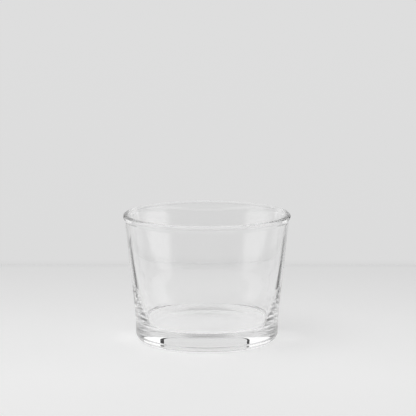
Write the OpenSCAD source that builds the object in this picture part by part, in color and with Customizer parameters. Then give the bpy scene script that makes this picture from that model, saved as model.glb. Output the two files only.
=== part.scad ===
// Short conical drinking glass for a cortado: one piece of clear pressed glass.
// The outline is drawn in the half plane (radius, height) and turned about Z.
// The glass stands on the plane z = 0 with its axis on Z.

/* [Overall] */
// Height from the table to the top of the rim
height = 62.7; // [56:0.1:100]
// Outside diameter across the rim bead
rim_d = 82; // [78:0.1:100]
// Outside diameter across the heel band
base_d = 70.1; // [64:0.1:76]

/* [Rim] */
// Thickness of the fire-polished bead round the mouth
bead_t = 3; // [2:0.1:4.5]
// How far the bead stands out beyond the straight line of the wall
bead_proud = 0.65; // [0:0.05:1.2]
// Depth below the top at which the bead has faded into the wall
bead_fade = 4; // [3:0.1:10]

/* [Wall] */
// Thickness of the wall's straight lines, carried down to the heel band
wall_foot = 2.4; // [1.5:0.1:4]
// Height at which the inside starts to lean in towards the base
swell_top = 28; // [24:0.5:40]
// Thickness that this lean has added at the top of the heel band
swell_t = 1.9; // [0:0.1:4]

/* [Heel] */
// Height of the upright heel band, from the table to where the wall starts to widen
band_h = 9.9; // [6:0.1:14]
// Radius of the rounded heel
heel_r = 4; // [1:0.1:5]

/* [Foot] */
// Width of the flat ring that stands on the table
foot_ring_w = 4; // [1:0.1:8]
// Depth of the shallow hollow under the base
push_up = 0.5; // [0.2:0.1:2.5]

/* [Inside] */
// Height of the middle of the inside floor above the table
floor_h = 8.9; // [6:0.1:12]
// How far the floor rises from its middle to its edge
floor_dish = 0.1; // [0:0.1:2]
// Radius of the corner between the floor and the wall
corner_r = 2.3; // [0.5:0.1:6]

/* [Hidden] */

// Straight stretches in each rounded or blended part of the outline
curve_steps = 14;
// Sides of the turned shape in the preview
turn_sides = 180;
// Power of height that the inside leans in with: more than 1, so that it starts softly
swell_power = 1.5;
// Rounds of closing in on the height where the corner touches the wall
touch_rounds = 12;

rim_r = rim_d / 2;
bead_r = bead_t / 2;
bead_mid_z = height - bead_r;
bead_foot_z = height - bead_fade;

band_r = base_d / 2;
foot_outer_r = band_r - heel_r;
foot_inner_r = foot_outer_r - foot_ring_w;

// The wall's two straight lines run up from the heel band, the inner one into the bead
outer_top_r = rim_r - bead_proud;
inner_top_r = rim_r - bead_t;
inner_foot_r = band_r - wall_foot;
inner_slope = (inner_top_r - inner_foot_r) / (bead_mid_z - band_h);
swell_drop = swell_top - band_h;

// The corner's arc touches the floor's edge and the inner wall
floor_edge_z = floor_h + floor_dish;
corner_mid_z = floor_edge_z + corner_r;
corner_touch_z = touch_z(corner_mid_z, touch_rounds);
corner_lean = inner_lean(corner_touch_z);
corner_mid_r = inner_wall(corner_touch_z) - corner_r * cos(corner_lean);

// The hollow under the base is part of a large ball
push_up_ball_r = (foot_inner_r * foot_inner_r + push_up * push_up) / (2 * push_up);

// Share t of the way from a to b, and the same way with soft ends
function mix(a, b, t) = a + (b - a) * t;
function ease(t) = (1 - cos(180 * t)) / 2;

// Radius of the wall's outer straight line at height z
function outer_line(z) = mix(band_r, outer_top_r, (z - band_h) / (height - band_h));

// Share of the lean at height z: 0 from its top up, 1 at the heel band
function swell_share(z) = max(0, swell_top - z) / swell_drop;

// Radius of the inner wall at height z, and the angle that it leans outward at
function inner_wall(z) =
    inner_foot_r + inner_slope * (z - band_h) - swell_t * pow(swell_share(z), swell_power);
function inner_lean(z) =
    atan(inner_slope + swell_power * swell_t / swell_drop * pow(swell_share(z), swell_power - 1));

// Height where the corner's arc and the inner wall lean alike
function touch_z(z, rounds) =
    rounds <= 0 ? z : touch_z(corner_mid_z - corner_r * sin(inner_lean(z)), rounds - 1);

// Shares from 0 to 1 along a curved stretch
shares = [for (i = [0 : curve_steps]) i / curve_steps];

// Points on a circle about (r, z), from one angle to another
function arc(r, z, radius, from, to) =
    [for (t = shares) [r + radius * cos(mix(from, to, t)), z + radius * sin(mix(from, to, t))]];

// Underside, from the middle of the hollow out to the foot ring
underside = [for (t = shares)
    [
        foot_inner_r * t,
        push_up - push_up_ball_r + sqrt(pow(push_up_ball_r, 2) - pow(foot_inner_r * t, 2))
    ]];

// Rounded heel, from the foot ring up to the side of the band
heel = arc(foot_outer_r, heel_r, heel_r, -90, 0);
band_top = [band_r, band_h];

// Wall swelling into the bead outside, then over the top
swell_out = [for (t = shares)
    let (z = mix(bead_foot_z, bead_mid_z, t))
    [mix(outer_line(z), rim_r, ease(t)), z]];
bead_top = arc(rim_r - bead_r, bead_mid_z, bead_r, 0, 180);

// Inner wall leaning in, then the corner down to the floor's edge
lean_in = [for (t = shares)
    let (z = mix(swell_top, corner_touch_z, t))
    [inner_wall(z), z]];
corner = arc(corner_mid_r, corner_mid_z, corner_r, -corner_lean, -90);

// Dished floor, from its edge to the middle
inside_floor = [for (t = shares) [corner_mid_r * (1 - t), mix(floor_edge_z, floor_h, ease(t))]];

// Neighbouring stretches share an end, so each leaves its last point to the next
function open_end(points) = [for (i = [0 : len(points) - 2]) points[i]];

glass_outline = concat(
    underside,
    heel,
    [band_top],
    open_end(swell_out),
    bead_top,
    open_end(lean_in),
    open_end(corner),
    inside_floor
);

module glass() {
    color([0.88, 0.92, 0.92, 0.4])
        rotate_extrude($fn = turn_sides)
            polygon(glass_outline);
}

glass();
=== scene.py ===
# %% [markdown]
# # A clear cortado glass
#
# The real object is one piece of pressed glass: a short cone with a rounded bead at the mouth, a wall
# that thickens towards the base, an upright heel band and a shallow hollow underneath. A clear
# piece has hardly any colour of its own, so what we see is its shape bending the room around it.
# That is why this lesson spends as much care on the outline and on the studio as on the shader.

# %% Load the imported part
import math

import bpy
import numpy as np
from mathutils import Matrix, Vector


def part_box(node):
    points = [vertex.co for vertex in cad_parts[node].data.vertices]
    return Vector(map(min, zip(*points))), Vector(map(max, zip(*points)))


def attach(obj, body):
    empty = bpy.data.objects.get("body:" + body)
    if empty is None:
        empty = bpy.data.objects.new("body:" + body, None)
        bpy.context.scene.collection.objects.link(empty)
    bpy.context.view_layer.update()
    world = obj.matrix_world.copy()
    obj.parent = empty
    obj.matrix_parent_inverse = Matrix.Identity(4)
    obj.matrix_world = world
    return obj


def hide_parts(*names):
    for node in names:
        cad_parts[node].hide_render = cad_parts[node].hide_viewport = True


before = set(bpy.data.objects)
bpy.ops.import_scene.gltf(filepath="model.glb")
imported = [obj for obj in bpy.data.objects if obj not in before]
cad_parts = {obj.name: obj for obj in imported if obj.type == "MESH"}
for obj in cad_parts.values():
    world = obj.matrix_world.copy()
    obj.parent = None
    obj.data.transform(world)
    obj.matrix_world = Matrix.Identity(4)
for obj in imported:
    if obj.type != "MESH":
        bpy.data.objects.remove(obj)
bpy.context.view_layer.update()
scene = bpy.context.scene
MM = 0.001
low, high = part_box("glass")
height = high.z
rim_r = high.x
print("CAD box of the glass:", [round(v, 4) for v in (*low, *high)])

# %% [markdown]
# ## The outline
#
# A pressed glass is a turned shape, so half of its section says everything. It could be drawn as
# a Bezier curve and spun, but a formula for each stretch keeps every radius exact. The
# height and the rim come from the CAD part. The other sizes repeat the part's own, because glass
# shows each tenth of a millimetre: a thicker wall moves every dark line along its edge.

# %% Sizes of the section
band_r = 35.05 * MM
band_h = 9.9 * MM
heel_r = 4.0 * MM
foot_ring_w = 4.0 * MM
push_up = 0.5 * MM  # depth of the hollow under the base
bead_t = 3.0 * MM
bead_proud = 0.65 * MM  # how far the bead stands out from the wall's straight line
bead_fade = 4.0 * MM  # depth below the top at which the bead has faded into the wall
wall_foot = 2.4 * MM  # thickness between the wall's straight lines at the heel band
swell_top = 28.0 * MM  # height at which the inside starts to lean in
swell_t = 1.9 * MM  # thickness that this lean has added at the heel band
swell_power = 1.5
floor_h = 8.9 * MM
floor_dish = 0.1 * MM
corner_r = 2.3 * MM

bead_r = bead_t / 2
bead_mid_z = height - bead_r
foot_outer_r = band_r - heel_r
foot_inner_r = foot_outer_r - foot_ring_w
outer_slope = (rim_r - bead_proud - band_r) / (height - band_h)
inner_slope = (rim_r - bead_t - band_r + wall_foot) / (bead_mid_z - band_h)
outer_lean_deg = math.degrees(math.atan(outer_slope))
print("outer wall leans", round(outer_lean_deg, 2), "degrees")

# %% [markdown]
# Three helpers draw the stretches: soft steps, for places where a shape fades into another, arcs, for
# everything that a mould cutter would turn with a round tool, and the straight line of the outer wall.

# %% Helpers for the section


def soft_step(t):
    """Goes from 0 to 1 along half a cosine wave, so it leaves and arrives level."""
    return (1 - np.cos(np.pi * t)) / 2


def arc(mid_r, mid_z, radius, start_deg, end_deg, rows):
    """Points of a circle about (mid_r, mid_z), from one angle to another, as radius and height."""
    a = np.radians(np.linspace(start_deg, end_deg, rows))
    return np.c_[mid_r + radius * np.cos(a), mid_z + radius * np.sin(a)]


def outer_line(z):
    """Radius of the straight outer wall at height z: the band's radius plus the slope times the rise."""
    return band_r + outer_slope * (z - band_h)


print("outer line reaches", round(outer_line(height) / MM, 2), "mm from the axis at the top")

# %% [markdown]
# ## Outside
#
# From the middle of the hollow under the base, out over the foot ring, round the heel and up. The
# hollow is part of a large ball. The wall leaves the upright band in a tight bend, which the glass
# shows as fine lines across its base. The bead needs many rows, because it bends light the most.

# %% Curved stretches of the outside
hollow_rows, heel_rows, bend_rows, bead_side_rows, bead_top_rows = 10, 16, 6, 15, 33
bend_r = 1.0 * MM
bend_half = bend_r * math.tan(math.radians(outer_lean_deg / 2))

ball_r = (foot_inner_r**2 + push_up**2) / (2 * push_up)
hollow_r = foot_inner_r * np.linspace(0, 1, hollow_rows)
hollow = np.c_[hollow_r, push_up - ball_r + np.sqrt(ball_r**2 - hollow_r**2)]
heel = arc(foot_outer_r, heel_r, heel_r, -90, 0, heel_rows)
bend = arc(band_r + bend_r, band_h - bend_half, bend_r, 180, 180 - outer_lean_deg, bend_rows)

bead_share = np.linspace(0, 1, bead_side_rows)
fade_z = height - bead_fade + (bead_fade - bead_r) * bead_share
fade_r = outer_line(fade_z)
bead_side = np.c_[fade_r + (rim_r - fade_r) * soft_step(bead_share), fade_z]
bead_top = arc(rim_r - bead_r, bead_mid_z, bead_r, 0, 180, bead_top_rows)
print("bead rows:", len(bead_side) + len(bead_top))

# %% [markdown]
# A straight stretch needs no rows between its ends. But smooth shading blends the slope of
# neighbouring faces, so each end has one more row close by, which keeps the rest of the stretch true.

# %% Straight stretches of the outside
guard = 0.25 * MM
guard_z = np.array([bend[-1, 1] + guard, bead_side[0, 1] - guard])
outer_wall = np.c_[outer_line(guard_z), guard_z]
foot_guard = np.array([[foot_inner_r + guard, 0], [foot_outer_r - guard, 0]])
band_guard = np.array([[band_r, heel_r + guard], [band_r, bend[0, 1] - guard]])
outside = np.vstack([hollow, foot_guard, heel, band_guard, bend, outer_wall, bead_side, bead_top[1:]])
print("outside rows:", len(outside))

# %% [markdown]
# ## Inside
#
# The plunger of the press shapes the inside: a straight wall that leans in towards the base from a
# little below half height, a round corner and an almost flat floor. The lean could be a second
# straight line, but its upper end would show as a ring round the glass, so it starts softly, as a
# power of the drop. The corner is an arc that has to touch a wall whose slope changes with height.
# A short loop closes in on the height where both lean alike.

# %% Inner wall, and where the corner meets it


def inner_wall(z):
    """Radius of the inner wall: a straight line, less a swell that grows as a power of the drop."""
    drop = np.clip((swell_top - z) / (swell_top - band_h), 0, None)
    return band_r - wall_foot + inner_slope * (z - band_h) - swell_t * drop**swell_power


def inner_lean(z):
    """Angle of the inner wall from upright, from a small step of its radius either side of z."""
    step = MM / 1000
    return math.atan((inner_wall(z + step) - inner_wall(z - step)) / (2 * step))


touch_rounds = 20
corner_mid_z = floor_h + floor_dish + corner_r
touch_z = corner_mid_z
for _ in range(touch_rounds):
    touch_z = corner_mid_z - corner_r * math.sin(inner_lean(touch_z))
touch_lean = inner_lean(touch_z)
corner_mid_r = inner_wall(touch_z) - corner_r * math.cos(touch_lean)
print("corner meets the wall at", round(touch_z / MM, 2), "mm")

# %% [markdown]
# The straight part of the wall again needs only its ends and the row that guards each of them. The
# lean and the corner have rows close together, because we look along them at the sides of the glass.
# The floor rises a tenth of a millimetre from its middle to its edge, along half a cosine wave.

# %% Rows of the inside
lean_rows, corner_rows, floor_rows = 26, 14, 10
plain_z = np.array([bead_mid_z - guard, swell_top + guard])
lean_z = np.linspace(swell_top, touch_z, lean_rows)
inner_z = np.r_[plain_z, lean_z]
inner = np.c_[inner_wall(inner_z), inner_z]
corner = arc(corner_mid_r, corner_mid_z, corner_r, -math.degrees(touch_lean), -90, corner_rows)
floor_share = np.linspace(0, 1, floor_rows)
dish = np.c_[corner_mid_r * (1 - floor_share), floor_h + floor_dish * (1 - soft_step(floor_share))]
inside = np.vstack([inner, corner[1:], dish[1:]])
print("inside rows:", len(inside))

# %% [markdown]
# ## Turning it
#
# Blender's Spin or a Screw modifier would turn the outline too. Here the grid is worked out in one
# go: each row of the outline times each step round the axis. Only the two ends, which
# lie on the axis, become single points, so that the mesh closes into a real solid of glass with
# an inside and an outside. Without that, light would not bend as it goes through.

# %% Turn the outline into a mesh


def turned(name, section, columns):
    """Surface of turning: x = r cos(a), y = r sin(a), z = z, with a going once round in equal steps.

    The section starts and ends on the axis. Those two ends become single points, closed with
    triangles."""
    a = np.linspace(0, 2 * np.pi, columns, endpoint=False)
    rows = section[1:-1]
    x = rows[:, :1] * np.cos(a)
    y = rows[:, :1] * np.sin(a)
    z = np.repeat(rows[:, 1:], columns, axis=1)
    points = np.stack([x, y, z], axis=-1).reshape(-1, 3)
    ends = np.array([[0, 0, section[0, 1]], [0, 0, section[-1, 1]]])
    points = np.vstack([points, ends])

    here = np.arange(columns)
    after = np.roll(here, -1)
    start = np.arange(len(rows) - 1)[:, None] * columns
    quads = np.stack([start + here, start + after, start + after + columns, start + here + columns], axis=-1)
    quads = quads.reshape(-1, 4)
    last_row = (len(rows) - 1) * columns
    bottom = np.c_[after, here, np.full(columns, len(points) - 2)]
    top = np.c_[last_row + here, last_row + after, np.full(columns, len(points) - 1)]

    mesh = bpy.data.meshes.new(name)
    mesh.from_pydata(points.tolist(), [], quads.tolist() + bottom.tolist() + top.tolist())
    mesh.polygons.foreach_set("use_smooth", np.ones(len(mesh.polygons), dtype=bool))
    piece = bpy.data.objects.new(name, mesh)
    scene.collection.objects.link(piece)
    print(name, "triangles:", 2 * len(quads) + 2 * columns)
    return piece


columns_round = 700
glass = turned("glass_clear", np.vstack([outside, inside]), columns_round)

# %% [markdown]
# ## The finish
#
# Soda-lime glass bends light with an index of about 1.52, and a piece this small shows hardly any
# colour. A Glass BSDF would do, but exporters keep the Principled shader with full transmission. Fire
# polishing leaves the surface smooth, so it has no roughness. What a press does leave is a slight
# waviness where the thick glass chilled, low in the wall and in the base. It is about a hundredth of a
# millimetre deep, too little to see from the front. At the sides, though, we look along the wall, and
# there it breaks the dark and bright lines into dashes. A noise that is stretched level gives it, as a
# bump that fades out up the wall: real geometry this fine would take millions of faces.

# %% Clear fire-polished glass
glass_index = 1.52
wave_scale = (120.0, 120.0, 420.0)
wave_detail = 1.0
wave_deep = 0.015 * MM
wave_top, wave_full = 32.0 * MM, 22.0 * MM


def clear_glass(name):
    """Full transmission, no roughness, and a fine level wave of the surface that fades out up the wall."""
    material = bpy.data.materials.new(name)
    material.use_nodes = True
    nodes, links = material.node_tree.nodes, material.node_tree.links
    shader = nodes["Principled BSDF"]
    shader.inputs["Base Color"].default_value = (1.0, 1.0, 1.0, 1.0)
    shader.inputs["Transmission Weight"].default_value = 1.0
    shader.inputs["IOR"].default_value = glass_index
    shader.inputs["Roughness"].default_value = 0.0

    place = nodes.new("ShaderNodeTexCoord")
    squash = nodes.new("ShaderNodeMapping")
    squash.inputs["Scale"].default_value = wave_scale
    noise = nodes.new("ShaderNodeTexNoise")
    # The mapping has the scale for each axis, so the noise adds none of its own
    noise.inputs["Scale"].default_value = 1.0
    noise.inputs["Detail"].default_value = wave_detail
    bump = nodes.new("ShaderNodeBump")
    bump.inputs["Distance"].default_value = wave_deep
    split = nodes.new("ShaderNodeSeparateXYZ")
    fade = nodes.new("ShaderNodeMapRange")
    fade.inputs["From Min"].default_value = wave_top
    fade.inputs["From Max"].default_value = wave_full
    links.new(place.outputs["Object"], split.inputs[0])
    links.new(split.outputs["Z"], fade.inputs["Value"])
    links.new(fade.outputs[0], bump.inputs["Strength"])
    links.new(place.outputs["Object"], squash.inputs["Vector"])
    links.new(squash.outputs["Vector"], noise.inputs["Vector"])
    links.new(noise.outputs["Fac"], bump.inputs["Height"])
    links.new(bump.outputs["Normal"], shader.inputs["Normal"])
    return material


glass.data.materials.append(clear_glass("clear_glass"))
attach(glass, "root")
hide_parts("glass")
print("glass material:", glass.data.materials[0].name)

# %% [markdown]
# ## The table and the backdrop
#
# The glass stands on a plain pale table, in front of a plain pale wall. Both are stage, not part of the
# object. Each is one flat sheet, and a ramp along one of its axes paints a slow change of grey into it:
# painted shade, like the fall of light on real paper and paint under a lamp. A gradient texture would do
# the same, but a ramp takes its places in metres.

# %% Helpers for the stage


def sheet(name, corners, material, seen=True):
    """One flat face through the corners, in order.

    One that isn't seen shows only in glass and gloss. The camera, dull surfaces and shadows miss it."""
    mesh = bpy.data.meshes.new(name)
    mesh.from_pydata(corners, [], [list(range(len(corners)))])
    piece = bpy.data.objects.new(name, mesh)
    mesh.materials.append(material)
    scene.collection.objects.link(piece)
    piece.visible_camera = seen
    piece.visible_diffuse = seen
    piece.visible_shadow = seen


def ramp_along(nodes, links, axis, stops, space="Object"):
    """A grey that follows X, Y or Z of the object's own space.

    The stops are pairs of place and level, in order. In the world's space, Generated, the place is a
    direction's own X, Y or Z, from -1 to 1."""
    place = nodes.new("ShaderNodeTexCoord")
    split = nodes.new("ShaderNodeSeparateXYZ")
    scale = nodes.new("ShaderNodeMapRange")
    ramp = nodes.new("ShaderNodeValToRGB")
    links.new(place.outputs[space], split.inputs[0])
    links.new(split.outputs[axis], scale.inputs["Value"])
    links.new(scale.outputs[0], ramp.inputs[0])
    first, last = stops[0][0], stops[-1][0]
    scale.inputs["From Min"].default_value = first
    scale.inputs["From Max"].default_value = last
    marks = ramp.color_ramp.elements
    for i, (where, level) in enumerate(stops):
        mark = marks[i] if i < len(marks) else marks.new(1.0)
        mark.position = (where - first) / (last - first)
        mark.color = (level, level, level, 1)
    return ramp.outputs[0]


print("stage helpers:", sheet.__name__, "and", ramp_along.__name__)

# %% [markdown]
# The table ends a little way behind the glass, and that edge is the faint line that shows through it.
# The pale room round a real table throws light on it from all sides. Here there are only a few lamps,
# so the table gives off a little light of its own too, the same all along but for a small fall to the
# right.

# %% Table
matt_roughness = 0.9


def matt(name):
    """A dull surface with no gloss, given together with its shader."""
    material = bpy.data.materials.new(name)
    material.use_nodes = True
    shader = material.node_tree.nodes["Principled BSDF"]
    shader.inputs["Roughness"].default_value = matt_roughness
    shader.inputs["Specular IOR Level"].default_value = 0.0
    return material, shader


table_far_y = 0.2
table_z = -0.1 * MM
table_half_w = 3.0
table_front_y = -3.0
# Painted shade: the table's grey falls from front to back, and drops faster in the last few millimetres
# before its far edge, which darkens the faint line there.
table_grey_and_painted_shade = [(-0.08, 0.91), (0.05, 0.82), (0.190, 0.69), (0.194, 0.67), (0.2, 0.62)]
table_own_light = [(-0.12, 0.32), (0.12, 0.315)]
table_paint_and_painted_shade, table_shader = matt("table_paint_and_painted_shade")
table_tree = table_paint_and_painted_shade.node_tree
grey = ramp_along(table_tree.nodes, table_tree.links, "Y", table_grey_and_painted_shade)
table_tree.links.new(grey, table_shader.inputs["Base Color"])
own_light = ramp_along(table_tree.nodes, table_tree.links, "X", table_own_light)
table_tree.links.new(own_light, table_shader.inputs["Emission Color"])
table_shader.inputs["Emission Strength"].default_value = 1.0
table_corners = [
    (-table_half_w, table_front_y, table_z),
    (table_half_w, table_front_y, table_z),
    (table_half_w, table_far_y, table_z),
    (-table_half_w, table_far_y, table_z),
]
sheet("table", table_corners, table_paint_and_painted_shade)
print("table ends at y =", table_far_y)

# %% [markdown]
# The backdrop is a lit wall, so it gives off its own light at a set level and takes no shadow. Its back
# lets everything through, and so a camera that goes round the glass can look in from behind it. It
# reaches far above the picture, because the thick base of the glass shows what is high up on it.

# %% Backdrop


def glow(name, stops, axis="Z"):
    """Light of a set level that follows one axis, given off by the front of a sheet only."""
    material = bpy.data.materials.new(name)
    material.use_nodes = True
    nodes, links = material.node_tree.nodes, material.node_tree.links
    nodes.remove(nodes["Principled BSDF"])
    light = nodes.new("ShaderNodeEmission")
    links.new(ramp_along(nodes, links, axis, stops), light.inputs["Color"])
    clear = nodes.new("ShaderNodeBsdfTransparent")
    side = nodes.new("ShaderNodeNewGeometry")
    mix = nodes.new("ShaderNodeMixShader")
    links.new(side.outputs["Backfacing"], mix.inputs[0])
    links.new(light.outputs[0], mix.inputs[1])
    links.new(clear.outputs[0], mix.inputs[2])
    links.new(mix.outputs[0], nodes["Material Output"].inputs[0])
    return material


def upright(x0, x1, y, z0, z1):
    """Corners of an upright sheet that faces the camera side."""
    return [(x0, y, z0), (x1, y, z0), (x1, y, z1), (x0, y, z1)]


backdrop_y = 0.6
backdrop_left, backdrop_right = -0.2516, 0.2785
backdrop_low, backdrop_top = -0.4, 0.48
# Painted shade: the backdrop's glow is dimmer at its lower edge, which shows just over the table's far edge,
# where the table would shade it.
backdrop_levels = [(-0.077, 0.66), (-0.070, 0.715), (0.1, 0.73)]
backdrop_corners = upright(backdrop_left, backdrop_right, backdrop_y, backdrop_low, backdrop_top)
sheet("backdrop", backdrop_corners, glow("backdrop_glow_and_painted_shade", backdrop_levels))
print("backdrop is", round(backdrop_right - backdrop_left, 3), "m wide")

# %% [markdown]
# ## Black cards
#
# Clear glass on a pale ground has no edge unless something dark stands at the sides. Photographers put
# black cards there, just out of the picture. Two upright cards close the sides of the backdrop. The
# thick base works as a lens and shows them as two short dark bars, each on the other side.
#
# From another side, a card seen straight through the glass would look like a bar inside it. The dark
# bars come from light that the glass has thrown back at least once, inside its wall or under its
# base, and Light Path's Glossy Depth counts just that. So the cards are clear to all other light.

# %% Upright black cards


def thrown_back_black(name, grey):
    """A dull black for light that was thrown back at least once on its way, clear to all other light."""
    material, shader = matt(name)
    shader.inputs["Base Color"].default_value = (grey, grey, grey, 1)
    nodes, links = material.node_tree.nodes, material.node_tree.links
    path = nodes.new("ShaderNodeLightPath")
    clear = nodes.new("ShaderNodeBsdfTransparent")
    mix = nodes.new("ShaderNodeMixShader")
    links.new(path.outputs["Glossy Depth"], mix.inputs[0])
    links.new(clear.outputs[0], mix.inputs[1])
    links.new(shader.outputs[0], mix.inputs[2])
    links.new(mix.outputs[0], nodes["Material Output"].inputs[0])
    return material


card_grey = 0.03
card_black = thrown_back_black("card_black", card_grey)
card_w_left, card_w_right = 0.0244, 0.043
card_low, card_top = -0.2, 0.4
card_left = upright(backdrop_left - card_w_left, backdrop_left, backdrop_y, card_low, card_top)
card_right = upright(backdrop_right, backdrop_right + card_w_right, backdrop_y, card_low, card_top)
sheet("card_left", card_left, card_black, seen=False)
sheet("card_right", card_right, card_black, seen=False)
print("cards are", card_w_left, "and", card_w_right, "m wide")

# %% [markdown]
# Two narrow strips of the same black lie on the table and slant away from the glass. The wall shows
# each of them as the dark line along its side, again by light that it has thrown back.

# %% Black strips on the table
strip_lift = 0.4 * MM


def strip_on_table(name, far, near, width):
    """A narrow black card that lies on the table, from a far point to a near one."""
    z = strip_lift
    (x0, y0), (x1, y1) = far, near
    half = width / 2
    corners = [(x0 - half, y0, z), (x1 - half, y1, z), (x1 + half, y1, z), (x0 + half, y0, z)]
    sheet(name, corners, card_black, seen=False)


strip_on_table("strip_left", far=(-0.140, 0.195), near=(-0.0906, 0.05), width=0.019)
strip_on_table("strip_right", far=(0.135, 0.195), near=(0.0856, 0.05), width=0.021)
print("strips lie", round(strip_lift / MM, 2), "mm above the foot")

# %% [markdown]
# ## Softboxes
#
# One large lamp above fills the table and draws the soft shadow. The glass doesn't show it. A glowing
# sheet would do for it too, but its brightness is even, and so a plain area lamp says it all with a
# size and a power.

# %% Fill lamp


def aim(lamp, target):
    """Turns a lamp so that its light goes from where it stands to the target."""
    lamp.rotation_euler = (Vector(target) - lamp.location).to_track_quat("-Z", "Y").to_euler()


def softbox(name, place, target, width, tall, radiance, on_table):
    """A rectangular lamp of even brightness. Its power is the brightness times pi times its area."""
    data = bpy.data.lights.new(name, "AREA")
    data.shape = "RECTANGLE"
    data.size, data.size_y = width, tall
    data.energy = radiance * math.pi * width * tall
    lamp = bpy.data.objects.new(name, data)
    lamp.location = place
    aim(lamp, target)
    lamp.visible_camera = False
    lamp.visible_diffuse = on_table
    scene.collection.objects.link(lamp)
    return lamp


fill_place, fill_target = (-0.35, -0.3, 1.1), (0, 0, 0)
fill = softbox("fill", fill_place, fill_target, width=1.0, tall=0.7, radiance=0.9, on_table=True)
fill.visible_glossy = False
fill.visible_transmission = False
print("fill lamp:", round(fill.data.energy, 2), "W")

# %% [markdown]
# Beside the cards, two tall panels give the pale stripes in the wall. They could be set by place and
# size, like the fill lamp. Here each is set by the angles that it fills, as seen from the glass,
# because those say where its stripe starts and ends.

# %% Panels beside the cards
panel_far = 0.75


def side_box(name, from_deg, to_deg, low_z, high_z, radiance):
    """An upright softbox between two heights, which fills the directions between two angles from +Y."""
    far, tall = panel_far, high_z - low_z
    a, b = math.radians(from_deg), math.radians(to_deg)
    width = 2 * far * math.sin(abs(b - a) / 2)
    mid, out = (a + b) / 2, far * math.cos((b - a) / 2)
    place = (out * math.sin(mid), out * math.cos(mid), (low_z + high_z) / 2)
    softbox(name, place, (0, 0, place[2]), width, tall, radiance, on_table=False)


side_box("panel_left", from_deg=-24.8, to_deg=-51, low_z=0, high_z=0.6, radiance=0.85)
side_box("panel_right", from_deg=28.3, to_deg=50, low_z=0, high_z=0.6, radiance=0.9)
print("panels stand", panel_far, "m from the glass")

# %% [markdown]
# At each side of the glass stand a low and a high glowing sheet, which the lower wall, the base and the
# bead pick up as highlights. A lamp would do for them too, but its ends are hard, and a sheet can fade
# along its length.

# %% Glowing sheets at the sides


def side_sheet(name, x, y0, y1, z0, z1, stops):
    """An upright glowing sheet at one side, faced to the glass, whose level follows Y."""
    if x > 0:
        y0, y1 = y1, y0
    corners = [(x, y0, z0), (x, y1, z0), (x, y1, z1), (x, y0, z1)]
    sheet(name, corners, glow(name + "_light", stops, "Y"), seen=False)


def low_levels(level):
    """Dark at the near end, even beside the glass and dimmer at the far end."""
    return [(-0.50, 0.0), (-0.30, level), (0.10, level), (0.45, 0.6)]


side_x = 0.75
low_y, low_z = (-0.5, 0.6), (0, 0.105)
high_y, high_z = (-0.45, 0.2), (0.2, 0.55)
low_left_level, low_right_level = 1.4, 1.6
high_levels = [(-0.45, 0.0), (-0.25, 1.15), (0.08, 1.15), (0.20, 0.0)]
side_sheet("low_left", -side_x, *low_y, *low_z, low_levels(low_left_level))
side_sheet("low_right", side_x, *low_y, *low_z, low_levels(low_right_level))
side_sheet("high_left", -side_x, *high_y, *high_z, high_levels)
side_sheet("high_right", side_x, *high_y, *high_z, high_levels)
print("glowing sheets stand", side_x, "m to each side")

# %% [markdown]
# ## The room
#
# The rest is a room. Past the table's edge its floor is pale. It is dim at the level of the glass,
# brighter in a ring high up, where walls and ceiling catch the light, and dim again straight above and
# behind the camera. A picture of a real room could light the scene, but two ramps say the same in a few
# numbers: one by how far up a direction points, and one by how far back.

# %% World
by_height = [
    (-0.12, 0.96),
    (-0.06, 0.55),
    (0.0, 0.55),
    (0.005, 0.25),
    (0.55, 0.25),
    (0.66, 0.8),
    (0.9, 0.78),
    (0.97, 0.34),
]
by_depth = [(-0.65, 0.2), (-0.3, 1.0), (0.15, 1.0), (0.45, 0.75)]
world = bpy.data.worlds.new("room")
scene.world = world
world.use_nodes = True
nodes, links = world.node_tree.nodes, world.node_tree.links
room = nodes["Background"]
links.new(ramp_along(nodes, links, "Z", by_height, "Generated"), room.inputs["Color"])
links.new(ramp_along(nodes, links, "Y", by_depth, "Generated"), room.inputs["Strength"])
print("room ramps:", len(by_height), "stops by height,", len(by_depth), "by depth")

# %% [markdown]
# ## The camera
#
# The camera stands about a metre away, a little above the rim, with a long lens. The lens in
# millimetres is the focal length in pixels times the sensor's width over the picture's width.

# %% Camera
picture_px = 416
focal_px = 2281.7
sensor_mm = 36.0
camera_place = (0.54 * MM, -1.1015, 0.2408)
camera_down_deg = 9.06
eye = bpy.data.cameras.new("camera")
eye.sensor_width = sensor_mm
eye.lens = focal_px * sensor_mm / picture_px
camera = bpy.data.objects.new("camera", eye)
camera.location = camera_place
camera.rotation_euler = (math.radians(90 - camera_down_deg), 0, 0)
scene.collection.objects.link(camera)
scene.camera = camera
print("lens:", round(eye.lens, 2), "mm")

# %% [markdown]
# Light goes through many faces of a glass before it leaves, so the path tracer gets far more bounces
# than usual. With few, the rim and the base turn black. Blurring what gloss throws back would save
# noise, but it would soften the fine lines too, so it is off.

# %% Light paths
glass_bounces, table_bounces = 96, 16
scene.view_settings.view_transform = "Standard"
scene.cycles.max_bounces = glass_bounces
scene.cycles.glossy_bounces = glass_bounces
scene.cycles.transmission_bounces = glass_bounces
scene.cycles.diffuse_bounces = table_bounces
scene.cycles.blur_glossy = 0.0
print("bounces in the glass:", scene.cycles.transmission_bounces)
